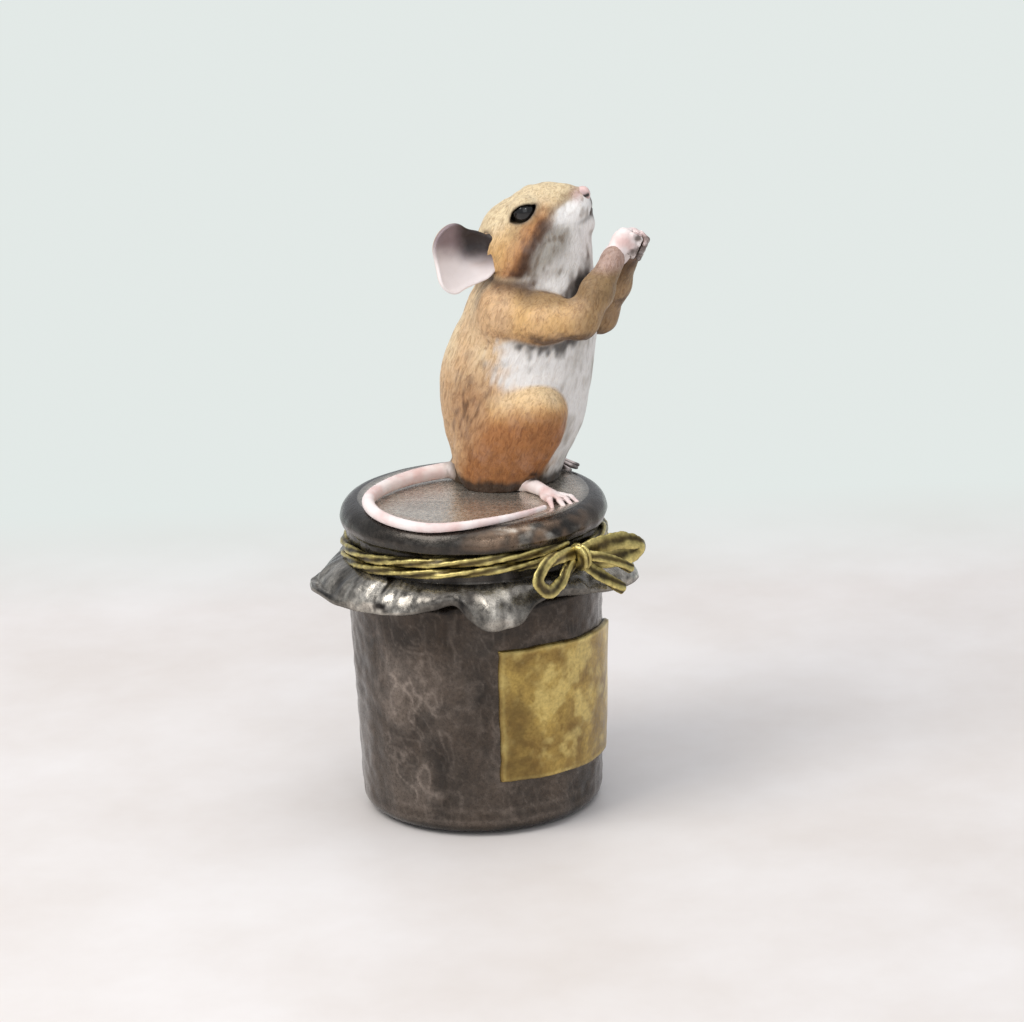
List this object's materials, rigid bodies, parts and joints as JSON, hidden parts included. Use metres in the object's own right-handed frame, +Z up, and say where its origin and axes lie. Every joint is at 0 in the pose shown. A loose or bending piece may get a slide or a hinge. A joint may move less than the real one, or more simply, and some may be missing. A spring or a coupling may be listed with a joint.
{
  "type": "mouse figurine",
  "caption": "Painted bronze figurine of a mouse sitting upright with clasped paws on the tied cloth cover of a labelled jam jar.",
  "frame": {"origin": "centre of the felt pad's underside, on the jar's axis", "axes": "+Z up along the jar's axis; the mouse faces -Y and its right side is -X"},
  "size_m": [0.0468, 0.0513, 0.0973],
  "materials": {
    "felt": "short felt",
    "base_brass": "plain turned",
    "jar_bronze": "dark brown patina, lumpy casting",
    "cover_bronze": "dark brown patina, worn bright on the folds",
    "gilt_bronze": "olive gold, dark in the recesses",
    "fur_paint": "cold painted, matte",
    "pale_paint": "cold painted, satin",
    "eye_enamel": "gloss",
    "steel": "machined"
  },
  "bodies": {
    "root": {"felt_pad": "felt", "base_plate": "base_brass", "jar_shell": "jar_bronze", "label_plate": "gilt_bronze", "cloth_cover": "cover_bronze", "string_wrap": "gilt_bronze", "bow_knot": "gilt_bronze", "bow_loop_left": "gilt_bronze", "bow_loop_right": "gilt_bronze", "bow_end_long": "gilt_bronze", "bow_end_short": "gilt_bronze", "fixing_stud": "steel", "fixing_washer": "steel", "fixing_nut": "steel", "mouse_torso": "fur_paint", "neck_dowel": "steel", "mouse_head": "fur_paint", "nose_tip": "pale_paint", "tail": "pale_paint", "eye_left": "eye_enamel", "eye_right": "eye_enamel", "ear_left": "pale_paint", "ear_right": "pale_paint", "arm_left": "fur_paint", "arm_right": "fur_paint", "paw_left": "pale_paint", "paw_right": "pale_paint", "haunch_left": "fur_paint", "haunch_right": "fur_paint", "hind_foot_left": "pale_paint", "hind_foot_right": "pale_paint"}
  },
  "joints": []
}
